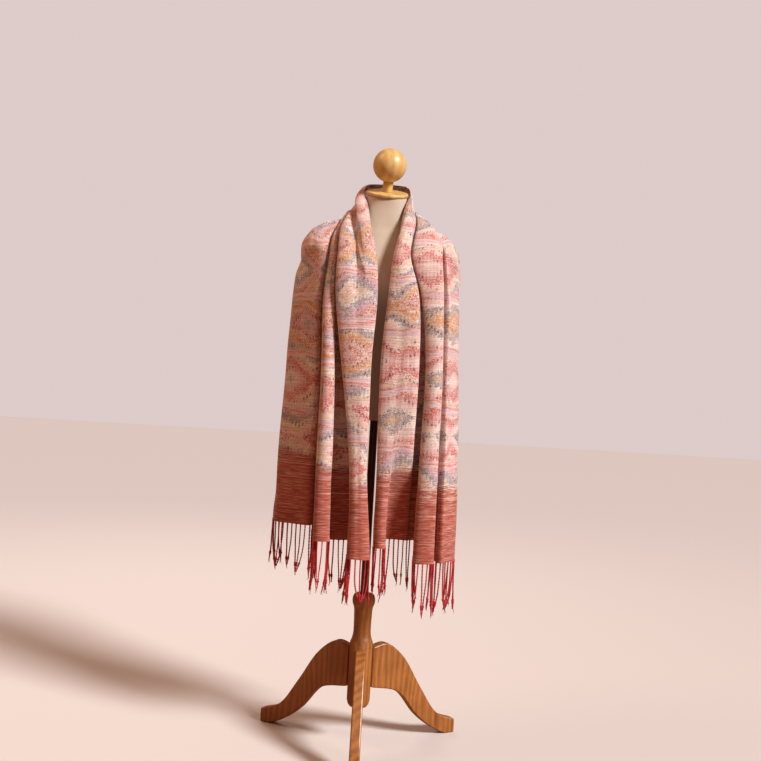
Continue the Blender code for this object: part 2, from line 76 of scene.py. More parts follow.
# Sections: hooks and returns of the neck selvedge, rounded edges, undercuts and the turned-in side
NECK_HOOK = 0.004
NECK_RETURN = 0.030
OVER_HOOK = -0.002
OVER_RETURN_SHARE = 0.6
EDGE_ROUND = 0.010
EDGE_ROUND_SHARE = 0.4
UNDERCUT = 0.055
LIP_MIDDLE = 0.56
CREST3_SET_BACK = 1.5
FACE_SHARE = 0.55
FLOOR_BOW = 0.003
FACE_BULGE = 0.005
SIDE_TURN = (0.004, 0.045)
SIDE_SELVEDGE = (-0.016, 0.080)
OVER_TURN_SHARE = 0.7
OVER_SELVEDGE_SHARE = 0.5
BODY_MIDDLE_Y = 0.020
OVER_RISE = 0.120
LINE_STEPS = 12
TINY = 1e-6

# Fringe
FRINGE_LENGTH = 0.122
FRINGE_COUNT = 50
CORD_RADIUS = 0.0016
CORD_SIDES = 8
CORD_RINGS = 40
PLY_TWIST = 0.011
PLY_DEPTH = 0.30
CORD_SPREAD = (0.9, 1.12)
ROOT_RISE = 0.001
ROOT_LONG = 0.03
ROOT_SWELL = 0.35
KNOT_SHARE = 0.84
KNOT_LONG = 0.035
KNOT_SWELL = 0.85
TIP_SHARE = 0.9
TIP_THIN = 0.25
WAVER = 0.0006
WAVER_RATES = (9, 7)

# Cords are knotted in groups of these sizes, which drift, and vary in length and in how they swing
GROUP_SIZES = (1, 2, 2, 2, 3, 4)
JOIN_SHARE = 0.90
GROUP_DRIFT = 0.008
GROUP_LENGTHS = (0.86, 1.06)
GROUP_SWINGS = (1.3, 3.6)
CORD_OUTWARD = (-0.001, 0.003)
TAIL_LONG = 0.014
TAIL_LENGTHS = (0.6, 1.0)
TAIL_SPRAY = 0.0035
TAIL_RISE = 0.002
TAIL_RINGS = 7
TAIL_THICK = 0.55
TAIL_THINNING = 0.3

# Turned pieces and edges
SHARP_ANGLE = math.radians(40)
TURNED_SIDES = 96
CAP_EDGE = 0.0042
POST_EDGE = 0.0008
POLE_EDGE = 0.0006

# Dress form
NECK_TILT = math.radians(18)
NECK_LEAN = math.radians(2)
NECK_TOP = 1.430
NECK_ROOT = 1.356
TORSO_SQUARE = 2.4
BUST_RISE = 0.020
BUST_SIDE = 0.068
BUST_HEIGHT = 1.185
BUST_SPREAD = 0.050
CAP_RADIUS = 0.0545
CAP_THICK = 0.010
POST_RADIUS = 0.013
POST_HIGH = 0.026
BALL_RADIUS = 0.043
BALL_FLAT = 0.0125
BALL_RINGS = 48
BALL_TOP_ANGLE = 0.02
SEAM_GAP = 0.0003
SEAM_DEEP = 0.0007
SEAM_WIDE = 0.0016
FORM_RADIUS = 0.15
TORSO_FINE_SIDES = 144
TORSO_FINE_STEPS = 7
TORSO_INSET = 0.0006

# Stand
POLE_RADIUS = 0.0105
HUB_TOP = 0.395
LEG_REACH = 0.300
LEG_WIDTH = 0.026
LEG_TURNS = tuple(math.radians(turn) for turn in (-90, 30, 150))
LEG_SEAT = 0.0303
LEG_EDGE = 0.004
LEG_EDGE_STEPS = 3
LEG_EDGE_ANGLE = math.radians(60)
LEG_STEPS = 8
BACK_REACH = LEG_REACH * math.sin(LEG_TURNS[1]) + LEG_WIDTH / 2 * math.cos(LEG_TURNS[1])
POLE_Y = (LEG_REACH - BACK_REACH) / 2

# Sections of the two fronts, hem first. Each fold has an inner and an outer edge, measured outward
# from the middle; crests, groove floors and the outline are measured forward. Drop is how much lower
# the outer selvedge hangs than the section's height, and dip is the tuck in the middle of fold 1.
FRONT_COLUMNS = (
    "height", "in1", "out1", "in2", "out2", "in3", "out3",
    "crest1", "crest2", "crest3", "floor1", "floor2", "outline", "drop", "dip",
)
LEFT_FRONT = (
    (0.540, -0.008, 0.047, 0.094, 0.133, 0.140, 0.239, 0.150, 0.144, 0.085, 0.080, 0.066, 0.040, 0.00, 0.000),
    (0.655, 0.006, 0.049, 0.097, 0.134, 0.141, 0.238, 0.152, 0.146, 0.087, 0.083, 0.067, 0.039, 0.01, 0.000),
    (0.762, 0.012, 0.056, 0.100, 0.135, 0.142, 0.237, 0.154, 0.147, 0.088, 0.085, 0.068, 0.038, 0.02, 0.000),
    (0.998, 0.015, 0.088, 0.107, 0.136, 0.144, 0.231, 0.156, 0.147, 0.095, 0.100, 0.076, 0.030, 0.04, 0.000),
    (1.158, 0.010, 0.110, 0.116, 0.143, 0.150, 0.226, 0.152, 0.130, 0.096, 0.118, 0.080, 0.020, 0.07, 0.004),
    (1.264, 0.020, 0.112, 0.118, 0.134, 0.142, 0.219, 0.128, 0.091, 0.078, 0.085, 0.064, 0.004, 0.10, 0.016),
)

# The lip of fold 1 stands 3 to 4.5 mm further out in the first three rows than in the solids, so that
# the background shows beside the pole
RIGHT_FRONT = (
    (0.530, 0.017, 0.100, 0.117, 0.166, 0.174, 0.219, 0.148, 0.150, 0.106, 0.080, 0.084, 0.060, 0.00, 0.000),
    (0.665, 0.0145, 0.100, 0.118, 0.164, 0.172, 0.218, 0.150, 0.151, 0.107, 0.086, 0.085, 0.058, 0.01, 0.000),
    (0.775, 0.0135, 0.100, 0.120, 0.162, 0.170, 0.217, 0.152, 0.152, 0.107, 0.094, 0.086, 0.056, 0.02, 0.000),
    (0.998, 0.010, 0.102, 0.121, 0.160, 0.165, 0.205, 0.155, 0.152, 0.102, 0.100, 0.084, 0.044, 0.04, 0.000),
    (1.158, 0.019, 0.093, 0.101, 0.154, 0.162, 0.200, 0.151, 0.145, 0.092, 0.118, 0.076, 0.026, 0.07, 0.000),
    (1.264, 0.027, 0.067, 0.074, 0.146, 0.154, 0.196, 0.126, 0.118, 0.070, 0.092, 0.058, 0.008, 0.10, 0.000),
)

# Low on the right front the outer part of fold 1 falls back in a step. Shares of the fold's width at
# the step's lip and foot, and its depth, for each section in turn.
FALL_COLUMNS = ("lip", "foot", "fall")
NO_FALL = (0.50, 0.72, 0.000)
LEFT_FALLS = (NO_FALL,) * len(LEFT_FRONT)
RIGHT_FALLS = ((0.33, 0.31, 0.060), (0.35, 0.34, 0.042), (0.40, 0.52, 0.004)) + (NO_FALL,) * 3

# Stretches of hem, neck selvedge first: how many of a section's knots lie in each, and its height
LEFT_HEM = ((6, 0.508), (3, 0.542), (3, 0.546), (2, 0.560), (4, 0.576), (2, 0.580))
RIGHT_HEM = ((4, 0.538), (5, 0.552), (3, 0.506), (2, 0.504), (4, 0.503), (2, 0.500))

# Share of the drop at each knot of a section, neck selvedge first
DROP_SHARES = (0,) * 14 + (0.04, 0.08, 0.20, 0.42, 0.72, 1.0)

# Sections over the chest and shoulder and down the back follow the form: each has a line that lies
# on it, outward and back from the neck, and folds measured along that line and lifted from it.
OVER_COLUMNS = (
    "in1", "out1", "in2", "out2", "in3", "out3", "turn", "selvedge",
    "crest1", "crest2", "crest3", "floor1", "floor2", "outline", "dip",
)
CHEST_LINE = (
    (0.043, -0.038, 1.392), (0.055, -0.040, 1.364), (0.075, -0.041, 1.340), (0.120, -0.048, 1.311),
    (0.155, -0.048, 1.282), (0.180, -0.034, 1.260), (0.194, -0.004, 1.240), (0.199, 0.022, 1.216),
    (0.196, 0.050, 1.190),
)
SHOULDER_LINE = (
    (0.056, 0.000, 1.438), (0.062, 0.002, 1.392), (0.080, 0.002, 1.366), (0.120, 0.000, 1.341),
    (0.165, 0.000, 1.315), (0.188, 0.012, 1.290), (0.199, 0.038, 1.262), (0.202, 0.060, 1.232),
    (0.198, 0.080, 1.200),
)
BLADE_LINE = (
    (0.044, 0.042, 1.464), (0.052, 0.056, 1.412), (0.068, 0.080, 1.362), (0.098, 0.096, 1.300),
    (0.134, 0.108, 1.248), (0.160, 0.113, 1.203), (0.176, 0.113, 1.155),
)
NAPE_LINE = (
    (0.000, 0.060, 1.472), (0.000, 0.066, 1.420), (0.000, 0.086, 1.370), (0.000, 0.100, 1.300),
    (0.000, 0.108, 1.220), (0.000, 0.112, 1.130), (0.000, 0.114, 1.040), (0.000, 0.114, 0.980),
)
LEFT_OVER = (
    (CHEST_LINE, (
        0.003, 0.096, 0.104, 0.124, 0.136, 0.222, 0.270, 0.306,
        0.030, 0.012, 0.022, 0.004, 0.002, 0.024, 0.018)),
    (SHOULDER_LINE, (
        0.004, 0.062, 0.070, 0.094, 0.106, 0.215, 0.260, 0.305,
        0.024, 0.027, 0.016, 0.003, 0.003, 0.027, 0.014)),
    (BLADE_LINE, (
        0.003, 0.064, 0.082, 0.150, 0.172, 0.262, 0.305, 0.345,
        0.020, 0.036, 0.034, 0.004, 0.004, 0.026, 0.006)),
)
NAPE = (NAPE_LINE, (
    0.003, 0.068, 0.092, 0.196, 0.222, 0.360, 0.415, 0.462,
    0.014, 0.040, 0.040, 0.004, 0.004, 0.030, 0.000))
RIGHT_OVER = (
    (CHEST_LINE, (
        0.003, 0.050, 0.058, 0.136, 0.146, 0.218, 0.266, 0.306,
        0.020, 0.028, 0.014, 0.0065, 0.003, 0.008, 0.000)),
    (SHOULDER_LINE, (
        0.004, 0.052, 0.062, 0.100, 0.112, 0.202, 0.254, 0.305,
        0.010, 0.018, 0.007, 0.004, 0.002, 0.007, 0.000)),
    (BLADE_LINE, (
        0.003, 0.060, 0.078, 0.146, 0.168, 0.260, 0.303, 0.345,
        0.012, 0.036, 0.030, 0.004, 0.004, 0.022, 0.000)),
)


def named(columns, values):
    return dict(zip(columns, values))


def spline(points, steps):
    """Points on a centripetal Catmull-Rom curve through points, steps[i] of them from one to the next."""
    points = np.asarray(points, float)
    ends = (2 * points[0] - points[1], 2 * points[-1] - points[-2])
    through = np.vstack([ends[0], points, ends[1]])
    gaps = np.sqrt(np.maximum(np.linalg.norm(np.diff(through, axis=0), axis=1), TINY))
    knots = np.concatenate([[0], np.cumsum(gaps)])
    found = []
    for i, count in enumerate(steps):
        p0, p1, p2, p3 = through[i : i + 4]
        t0, t1, t2, t3 = knots[i : i + 4]
        for t in np.linspace(t1, t2, count, endpoint=False):
            a1 = ((t1 - t) * p0 + (t - t0) * p1) / (t1 - t0)
            a2 = ((t2 - t) * p1 + (t - t1) * p2) / (t2 - t1)
            a3 = ((t3 - t) * p2 + (t - t2) * p3) / (t3 - t2)
            b1 = ((t2 - t) * a1 + (t - t0) * a2) / (t2 - t0)
            b2 = ((t3 - t) * a2 + (t - t1) * a3) / (t3 - t1)
            found.append(((t2 - t) * b1 + (t - t1) * b2) / (t2 - t1))
    found.append(points[-1])
    return np.array(found)


def fold_knots(row, neck_hook, neck_return):
    """Where each line of the cloth crosses a section: (outward, forward) pairs, neck selvedge first."""
    in1, out1, in2, out2, in3, out3 = (row[k] for k in ("in1", "out1", "in2", "out2", "in3", "out3"))
    floor1, floor2 = row["floor1"], row["floor2"]
    crest1, crest2, crest3 = row["crest1"], row["crest2"], row["crest3"]
    wide1, back1 = out1 - in1, crest1 - row["fall"]
    round1, round_lip, round1_outer, round2, round2_outer, round3 = (
        min(EDGE_ROUND, EDGE_ROUND_SHARE * depth)
        for depth in (
            crest1 - floor1, row["fall"], back1 - floor1,
            crest2 - floor1, crest2 - floor2, crest3 - floor2,
        )
    )
    return [
        (in1 + neck_hook, crest1 - round1 - neck_return),
        (in1, crest1 - round1),
        (in1 + LIP_MIDDLE * row["lip"] * wide1, crest1),
        (in1 + row["lip"] * wide1, crest1 - round_lip - row["dip"]),
        (in1 + row["foot"] * wide1, back1),
        (out1, back1 - round1_outer),
        (out1 - UNDERCUT * (back1 - floor1), floor1),
        ((out1 + in2) / 2, floor1 - FLOOR_BOW),
        (in2 + UNDERCUT * (crest2 - floor1), floor1),
        (in2, crest2 - round2),
        ((in2 + out2) / 2, crest2),
        (out2, crest2 - round2_outer),
        (out2 - UNDERCUT * (crest2 - floor2), floor2),
        (in3 + UNDERCUT * (crest3 - floor2), floor2),
        (in3, crest3 - round3),
        (in3 + CREST3_SET_BACK * round3, crest3),
        (in3 + FACE_SHARE * (out3 - in3), (crest3 + row["outline"]) / 2 + FACE_BULGE),
        (out3, row["outline"]),
    ]


def front_section(side, row, hem=None):
    """Knots of a front section in space. A hem section takes its heights from the hem's own row."""
    flat = fold_knots(row, NECK_HOOK, NECK_RETURN)
    flat.append((row["out3"] + SIDE_TURN[0], row["outline"] - SIDE_TURN[1]))
    flat.append((row["out3"] + SIDE_SELVEDGE[0], row["outline"] - SIDE_SELVEDGE[1]))
    if hem:
        heights = [high for count, high in hem for _ in range(count)]
    else:
        heights = [row["height"] - row["drop"] * share for share in DROP_SHARES]
    return [(side * out, -forward, up) for (out, forward), up in zip(flat, heights)]


def unit(vectors):
    return vectors / np.linalg.norm(vectors, axis=-1, keepdims=True)


def run_along(points):
    """Length along a row of points, up to each of them."""
    return np.concatenate([[0], np.cumsum(np.linalg.norm(np.diff(points, axis=0), axis=1))])


def over_section(side, line, values):
    """Knots of a section that lies along line, a row of points on the form, and is lifted from it."""
    row = named(OVER_COLUMNS + FALL_COLUMNS, values + NO_FALL)
    path = spline(line, [LINE_STEPS] * (len(line) - 1)) * (side, 1, 1)
    run = run_along(path)
    flat = fold_knots(row, OVER_HOOK, OVER_RETURN_SHARE * row["crest1"] - FLOOR_BOW)
    flat.append((row["turn"], OVER_TURN_SHARE * row["outline"]))
    flat.append((row["selvedge"], OVER_SELVEDGE_SHARE * row["outline"]))
    tangent = unit(np.gradient(path, run, axis=0))
    away = path - (0, BODY_MIDDLE_Y, 0)
    away[:, 2] = OVER_RISE
    away = unit(away - tangent * (away * tangent).sum(axis=1, keepdims=True))
    knots = []
    for out, lift in flat:
        spot = [np.interp(out, run, path[:, k]) for k in range(3)]
        lean = [np.interp(out, run, away[:, k]) for k in range(3)]
        knots.append(tuple(s + lift * n for s, n in zip(spot, lean)))
    return knots


def half_sections(side, front, falls, hem, over):
    """Sections of one half of the cloth, hem first."""
    rows = [named(FRONT_COLUMNS + FALL_COLUMNS, values + fall) for values, fall in zip(front, falls)]
    sections = [front_section(side, rows[0], hem)]
    sections += [front_section(side, row) for row in rows[1:]]
    return sections + [over_section(side, line, values) for line, values in over]


def cloth_grid(steps_along, steps_across):
    """Points of the cloth's middle surface, [along, across, xyz], left hem to right hem."""
    left = half_sections(-1, LEFT_FRONT, LEFT_FALLS, LEFT_HEM, LEFT_OVER)
    right = half_sections(1, RIGHT_FRONT, RIGHT_FALLS, RIGHT_HEM, RIGHT_OVER)
    sections = np.array(left + [over_section(1, *NAPE)] + right[::-1])
    steps = list(steps_along) + list(steps_along)[::-1]
    lines = np.stack([spline(sections[:, k], steps) for k in range(sections.shape[1])], axis=1)
    return np.array([spline(row, [steps_across] * (len(row) - 1)) for row in lines])


def grid_normals(grid):
    """Unit normals of the cloth, pointing to the side that shows."""
    along = np.gradient(grid, axis=0)
    across = np.gradient(grid, axis=1)
    return unit(np.cross(across, along))


def move_to_pole(points):
    return np.asarray(points) + (0, POLE_Y, 0)


# Creases of the cloth. Rows count the stretches between sections from the left hem (0) to the right
# hem (18), columns the knots of a section from the neck selvedge (0) to the outer one (19). A crease
# runs from one row and column to another; a positive depth is a trough, a negative one a ridge, and
# a bend over 1 makes it reach its second column sooner.
CREASE_COLUMNS = ("row1", "column1", "row2", "column2", "wide", "deep", "bend")
CREASES = (
    (4.45, 1.9, 6.5, 3.0, 0.0058, 0.0105, 3),
    (6.2, 3.0, 8.6, 3.0, 0.0050, 0.0025, 1),
    (4.6, 10.1, 6.8, 9.9, 0.0120, 0.0040, 1),
    (13.6, 4.4, 16.4, 4.9, 0.0140, 0.0030, 1),
    (4.4, 4.1, 8.0, 3.9, 0.0090, -0.0030, 1),
    (3.6, 2.2, 5.9, 2.6, 0.0110, -0.0020, 1),
    (1.2, 2.6, 4.1, 3.4, 0.0100, 0.0018, 1),
    (0.0, 16.2, 4.2, 15.9, 0.0160, 0.0028, 1),
    (2.2, 16.9, 5.6, 16.8, 0.0130, 0.0022, 1),
    (3.4, 15.6, 5.9, 15.9, 0.0100, -0.0018, 1),
    (5.1, 13.4, 7.2, 14.8, 0.0060, 0.0030, 1),
    (5.3, 15.2, 7.6, 15.8, 0.0080, 0.0026, 1),
    (5.8, 16.4, 8.2, 16.2, 0.0110, 0.0024, 1),
    (7.0, 9.6, 9.6, 9.9, 0.0120, 0.0028, 1),
    (7.4, 13.8, 10.4, 14.1, 0.0140, 0.0034, 1),
    (7.8, 15.9, 10.8, 16.1, 0.0120, 0.0030, 1),
    (8.2, 11.0, 9.9, 11.4, 0.0090, -0.0022, 1),
    (8.6, 16.9, 10.1, 17.1, 0.0140, -0.0026, 1),
    (9.0, 5.2, 11.3, 4.4, 0.0080, 0.0024, 1),
    (10.2, 9.9, 12.9, 10.4, 0.0080, 0.0022, 1),
    (10.6, 13.7, 13.1, 14.0, 0.0090, 0.0026, 1),
    (10.9, 16.3, 13.4, 16.5, 0.0120, 0.0024, 1),
    (11.8, 2.6, 14.6, 3.0, 0.0090, 0.0016, 1),
    (12.6, 15.8, 15.2, 16.0, 0.0110, 0.0016, 1),
    (13.2, 10.5, 17.2, 10.2, 0.0100, 0.0012, 1),
    (13.4, 3.3, 15.6, 3.7, 0.0100, 0.0014, 1),
    (14.8, 16.6, 18.0, 16.3, 0.0120, 0.0016, 1),
)

# Soft sags that cross the folds: middle row and column, half lengths along and across in the same
# counts, how far the sag hangs down in rows, and depth
SAG_COLUMNS = ("row", "column", "half_rows", "half_columns", "hang", "deep")
SAGS = (
    (5.35, 3.4, 0.14, 2.6, 0.20, 0.0036),
    (5.02, 3.6, 0.12, 2.8, 0.24, 0.0042),
    (4.62, 3.6, 0.15, 2.6, 0.22, 0.0036),
    (4.86, 3.0, 0.06, 2.2, 0.16, 0.0022),
    (4.2, 3.4, 0.16, 2.4, 0.18, 0.0022),
    (6.1, 15.6, 0.12, 2.0, -0.10, 0.0022),
    (6.45, 16.4, 0.10, 1.6, 0.08, 0.0018),
    (7.55, 16.2, 0.14, 2.2, -0.12, 0.0020),
    (8.45, 13.0, 0.12, 2.6, 0.10, 0.0018),
    (9.25, 12.4, 0.14, 3.0, 0.16, 0.0026),
    (9.8, 15.4, 0.12, 2.6, 0.14, 0.0022),
    (10.6, 14.6, 0.12, 2.2, -0.10, 0.0018),
    (11.6, 15.6, 0.10, 2.0, 0.08, 0.0018),
    (12.4, 3.0, 0.12, 2.0, 0.10, 0.0014),
    (12.9, 16.0, 0.12, 1.8, -0.08, 0.0016),
)

# Low swells over the whole cloth: waves along and across, phase, height
SWELLS = (
    (4.0, 1.3, 0.4, 0.0016),
    (7.0, -2.1, 1.9, 0.0012),
    (12.0, 2.7, 3.1, 0.0008),
    (19.0, -3.3, 5.2, 0.0004),
)


def bump(distance):
    return np.exp(-distance ** 2)


def relief(grid, rows, columns):
    """How far the creases, sags and swells move each point of the cloth inward."""
    across = np.concatenate([np.zeros((len(grid), 1)),
                             np.cumsum(np.linalg.norm(np.diff(grid, axis=1), axis=2), axis=1)], axis=1)
    depth = np.zeros(grid.shape[:2])
    for crease in (named(CREASE_COLUMNS, values) for values in CREASES):
        share = (rows - crease["row1"]) / (crease["row2"] - crease["row1"])
        over = 1 - (1 - np.clip(share, 0, 1)) ** crease["bend"]
        middle = crease["column1"] + over * (crease["column2"] - crease["column1"])
        spot = np.array([np.interp(c, columns, line) for c, line in zip(middle, across)])
        taper = np.sin(math.pi * np.clip(share, 0, 1)) ** CREASE_TAPER
        taper[[0, -1]] = 0
        depth += crease["deep"] * taper[:, None] * bump((across - spot[:, None]) / crease["wide"])
    for sag in (named(SAG_COLUMNS, values) for values in SAGS):
        side = (columns - sag["column"]) / sag["half_columns"]
        middle = sag["row"] - sag["hang"] * np.clip(1 - side ** 2, 0, 1)
        fade = np.clip(1 - side ** 2, 0, 1) ** SAG_TAPER
        depth += sag["deep"] * fade * bump((rows[:, None] - middle) / sag["half_rows"])
    along = rows[:, None] / rows[-1]
    over = columns / columns[-1]
    for waves_along, waves_across, phase, height in SWELLS:
        depth += height * np.sin(2 * math.pi * (waves_along * along + waves_across * over) + phase)
    return depth


def openness(normals):
    """1 where the cloth is nearly flat across, falling softly to 0 in its tight folds."""
    padded = np.pad(normals, ((0, 0), (FOLD_REACH, FOLD_REACH), (0, 0)), mode="edge")
    agree = (padded[:, 2 * FOLD_REACH :] * padded[:, : -2 * FOLD_REACH]).sum(axis=2)
    kernel = np.bartlett(2 * FOLD_BLUR + 3)
    padded = np.pad(np.clip(agree, 0, 1) ** 2, ((0, 0), (FOLD_BLUR + 1, FOLD_BLUR + 1)), mode="edge")
    return np.array([np.convolve(row, kernel / kernel.sum(), "valid") for row in padded])


# The woven length is counted from the left hem up to the first of these rows, and from the right hem
# after the second
BLEND_ROWS = (5.6, 12.4)


def cloth():
    """The fine cloth: points, normals and the woven cloth's own coordinates, in metres."""
    steps = list(FINE_ALONG) + list(FINE_ALONG)[::-1]
    grid = cloth_grid(FINE_ALONG, FINE_ACROSS)
    rows = np.concatenate([[0], np.cumsum(np.repeat([1 / s for s in steps], steps))])
    columns = np.linspace(0, (grid.shape[1] - 1) / FINE_ACROSS, grid.shape[1])
    normals = grid_normals(grid)
    edge = np.minimum(1, np.minimum(columns, columns[-1] - columns) / EDGE_FADE)
    grid = grid - normals * (relief(grid, rows, columns) * edge * openness(normals))[..., None]
    down = np.linalg.norm(np.diff(grid, axis=0), axis=2)
    over = np.linalg.norm(np.diff(grid, axis=1), axis=2)
    v = np.concatenate([np.zeros((1, grid.shape[1])), np.cumsum(down, axis=0)])
    from_right = CLOTH_LONG - (v[-1] - v)
    share = np.clip((rows - BLEND_ROWS[0]) / (BLEND_ROWS[1] - BLEND_ROWS[0]), 0, 1)[:, None]
    v = v + share * share * (3 - 2 * share) * (from_right - v)
    u = np.concatenate([np.zeros((grid.shape[0], 1)), np.cumsum(over, axis=1)], axis=1)
    weave = np.stack([u / u[:, -1:] * CLOTH_WIDE, v], axis=2)
    return move_to_pole(grid), grid_normals(grid), weave


def new_object(name, mesh, finish, smooth=True):
    piece = bpy.data.objects.new(name, mesh)
    bpy.context.scene.collection.objects.link(piece)
    mesh.materials.append(finish)
    if smooth:
        mesh.shade_smooth()
    return piece


def mesh_of(name, points, faces):
    mesh = bpy.data.meshes.new(name)
    mesh.from_pydata(np.asarray(points).tolist(), [], [tuple(face) for face in faces])
    mesh.update()
    return mesh


def grid_faces(rows, columns, wrap=False):
    """Quads of a grid of points; a wrapped grid's last column joins its first."""
    index = np.arange(rows * columns).reshape(rows, columns)
    if wrap:
        index = np.hstack([index, index[:, :1]])
    corners = (index[:-1, :-1], index[:-1, 1:], index[1:, 1:], index[1:, :-1])
    return np.stack(corners, axis=-1).reshape(-1, 4)


def tube_faces(rings, sides, rising=False):
    """Quads round a tube of rings of points and a cap at each end. Its rings go down unless rising."""
    last = (rings - 1) * sides
    caps = [list(range(sides)), list(range(last + sides - 1, last - 1, -1))]
    faces = grid_faces(rings, sides, wrap=True)[:, ::-1].tolist() + caps
    return [face[::-1] for face in faces] if rising else faces


def shell(name, grid, normals, weave, finish):
    """Both faces of a stretch of cloth and the edge round it, with the whole cloth's normals."""
    rows, columns = grid.shape[:2]
    count = rows * columns
    half = CLOTH_THICK / 2
    points = np.concatenate([grid + normals * half, grid - normals * half]).reshape(-1, 3)
    face = grid_faces(rows, columns)
    index = np.arange(count).reshape(rows, columns)
    border = np.concatenate([index[0, :-1], index[:-1, -1], index[-1, :0:-1], index[:0:-1, 0]])
    after = np.roll(border, -1)
    rim = np.stack([after, border, border + count, after + count], axis=1)
    faces = np.concatenate([face, face[:, ::-1] + count, rim])
    mesh = mesh_of(name, points, faces.tolist())
    piece = new_object(name, mesh, finish)
    layer = mesh.uv_layers.new(name="weave")
    corners = np.zeros(len(mesh.loops), dtype=np.int32)
    mesh.loops.foreach_get("vertex_index", corners)
    flat = np.tile(weave.reshape(-1, 2), (2, 1))
    layer.data.foreach_set("uv", flat[corners].astype(np.float32).ravel())
    mesh.normals_split_custom_set_from_vertices(np.concatenate([normals, -normals]).reshape(-1, 3).tolist())
    return piece


def cord_mesh(paths):
    """Points and faces of twisted two-ply cords; each path is (points, radii), and has capped ends."""
    points, faces = [], []
    turn = 2 * math.pi * np.arange(CORD_SIDES) / CORD_SIDES
    for path, radii in paths:
        run = run_along(path)
        ahead = unit(np.gradient(path, axis=0))
        side = unit(np.cross(ahead, (0.0, 1.0, 0.2)))
        front = np.cross(side, ahead)
        ply = 2 * math.pi * run / PLY_TWIST
        lobes = 1 + PLY_DEPTH * np.cos(2 * (turn[None, :] - ply[:, None]))
        reach = (radii[:, None] * lobes)[..., None]
        rings = path[:, None] + reach * (np.cos(turn)[None, :, None] * side[:, None]
                                         + np.sin(turn)[None, :, None] * front[:, None])
        start = sum(len(p) for p in points)
        points.append(rings.reshape(-1, 3))
        faces += [[start + k for k in face] for face in tube_faces(len(path), CORD_SIDES)]
    return np.concatenate(points), faces


def hang(root, sway, power, length, random):
    """A cord's own path from its root: it swings by sway as it falls, with a slight waver."""
    t = np.linspace(0, 1, CORD_RINGS)[:, None]
    path = root + sway * t ** power
    path[:, 2] -= length * t[:, 0]
    for k, (rate, phase) in enumerate(zip(WAVER_RATES, random.uniform(0, 2 * math.pi, 2))):
        path[:, k] += WAVER * np.sin(rate * t[:, 0] + phase) * t[:, 0]
    return path


def knotted(path, random):
    """Radii of a cord with a small root wrap and a knot near its lower end."""
    t = np.linspace(0, 1, len(path))
    radii = np.full(len(path), CORD_RADIUS * random.uniform(*CORD_SPREAD))
    radii *= 1 + ROOT_SWELL * bump(t / ROOT_LONG)
    radii *= 1 + KNOT_SWELL * bump((t - KNOT_SHARE) / KNOT_LONG)
    radii *= 1 - TIP_THIN * np.clip((t - TIP_SHARE) / (1 - TIP_SHARE), 0, 1)
    return radii


def fringe(name, hem, normals, seed, finish):
    """Twisted cords along a hem. Some hang alone, and neighbours are often knotted together."""
    random = np.random.default_rng(seed)
    run = run_along(hem)
    middles = run[-1] / FRINGE_COUNT * (np.arange(FRINGE_COUNT) + 0.5)
    roots = np.array([[np.interp(m, run, hem[:, k]) for k in range(3)] for m in middles])
    roots[:, 2] += ROOT_RISE
    outward = np.array([[np.interp(m, run, normals[:, k]) for k in range(2)] + [0] for m in middles])
    outward = unit(outward)
    paths = []
    number = 0
    while number < FRINGE_COUNT:
        size = min(random.choice(GROUP_SIZES), FRINGE_COUNT - number)
        group = list(range(number, number + size))
        meet = roots[group].mean(axis=0)
        drift = np.append(random.uniform(-GROUP_DRIFT, GROUP_DRIFT, 2), 0)
        length = FRINGE_LENGTH * random.uniform(*GROUP_LENGTHS)
        low = roots[group, 2].min() - length
        power = random.uniform(*GROUP_SWINGS)
        for member in group:
            root = roots[member]
            sway = (meet - root) * JOIN_SHARE * (size > 1) + drift
            sway = sway + outward[member] * random.uniform(*CORD_OUTWARD)
            sway[2] = 0
            path = hang(root, sway, power, root[2] - low, random)
            paths.append((path, knotted(path, random)))
        end = paths[-1][0][-1]
        for tail in range(2):
            aside = random.uniform(-TAIL_SPRAY, TAIL_SPRAY, 2)
            spray = np.append(aside, -TAIL_LONG * random.uniform(*TAIL_LENGTHS))
            t = np.linspace(0, 1, TAIL_RINGS)[:, None]
            radii = CORD_RADIUS * (TAIL_THICK - TAIL_THINNING * t[:, 0])
            paths.append((end + (0, 0, TAIL_RISE) + spray * t, radii))
        number += size
    points, faces = cord_mesh(paths)
    return new_object(name, mesh_of(name, points, faces), finish)


def tilted(point, centre, tilt, lean):
    """point turned about centre, forward by tilt and sideways by lean."""
    x, y, z = point[0], point[1], point[2] - centre
    y, z = y * math.cos(tilt) - z * math.sin(tilt), y * math.sin(tilt) + z * math.cos(tilt)
    x, z = x * math.cos(lean) + z * math.sin(lean), -x * math.sin(lean) + z * math.cos(lean)
    return x, y, z + centre


TORSO_COLUMNS = ("height", "half", "front", "back")
TORSO_RINGS = (
    (0.848, 0.146, 0.072, 0.090),
    (0.858, 0.155, 0.079, 0.100),
    (0.900, 0.164, 0.085, 0.108),
    (0.960, 0.160, 0.086, 0.106),
    (1.020, 0.138, 0.084, 0.090),
    (1.070, 0.122, 0.082, 0.078),
    (1.110, 0.127, 0.085, 0.080),
    (1.160, 0.142, 0.091, 0.087),
    (1.200, 0.152, 0.092, 0.092),
    (1.240, 0.161, 0.086, 0.093),
    (1.266, 0.171, 0.079, 0.089),
    (1.291, 0.177, 0.068, 0.080),
    (1.309, 0.163, 0.060, 0.076),
    (1.325, 0.139, 0.0543, 0.072),
    (1.340, 0.109, 0.050, 0.066),
    (1.357, 0.083, 0.048, 0.062),
    (1.379, 0.0655, 0.047, 0.058),
    (1.404, 0.0565, 0.047, 0.053),
    (1.430, 0.0515, 0.0495, 0.0495),
)


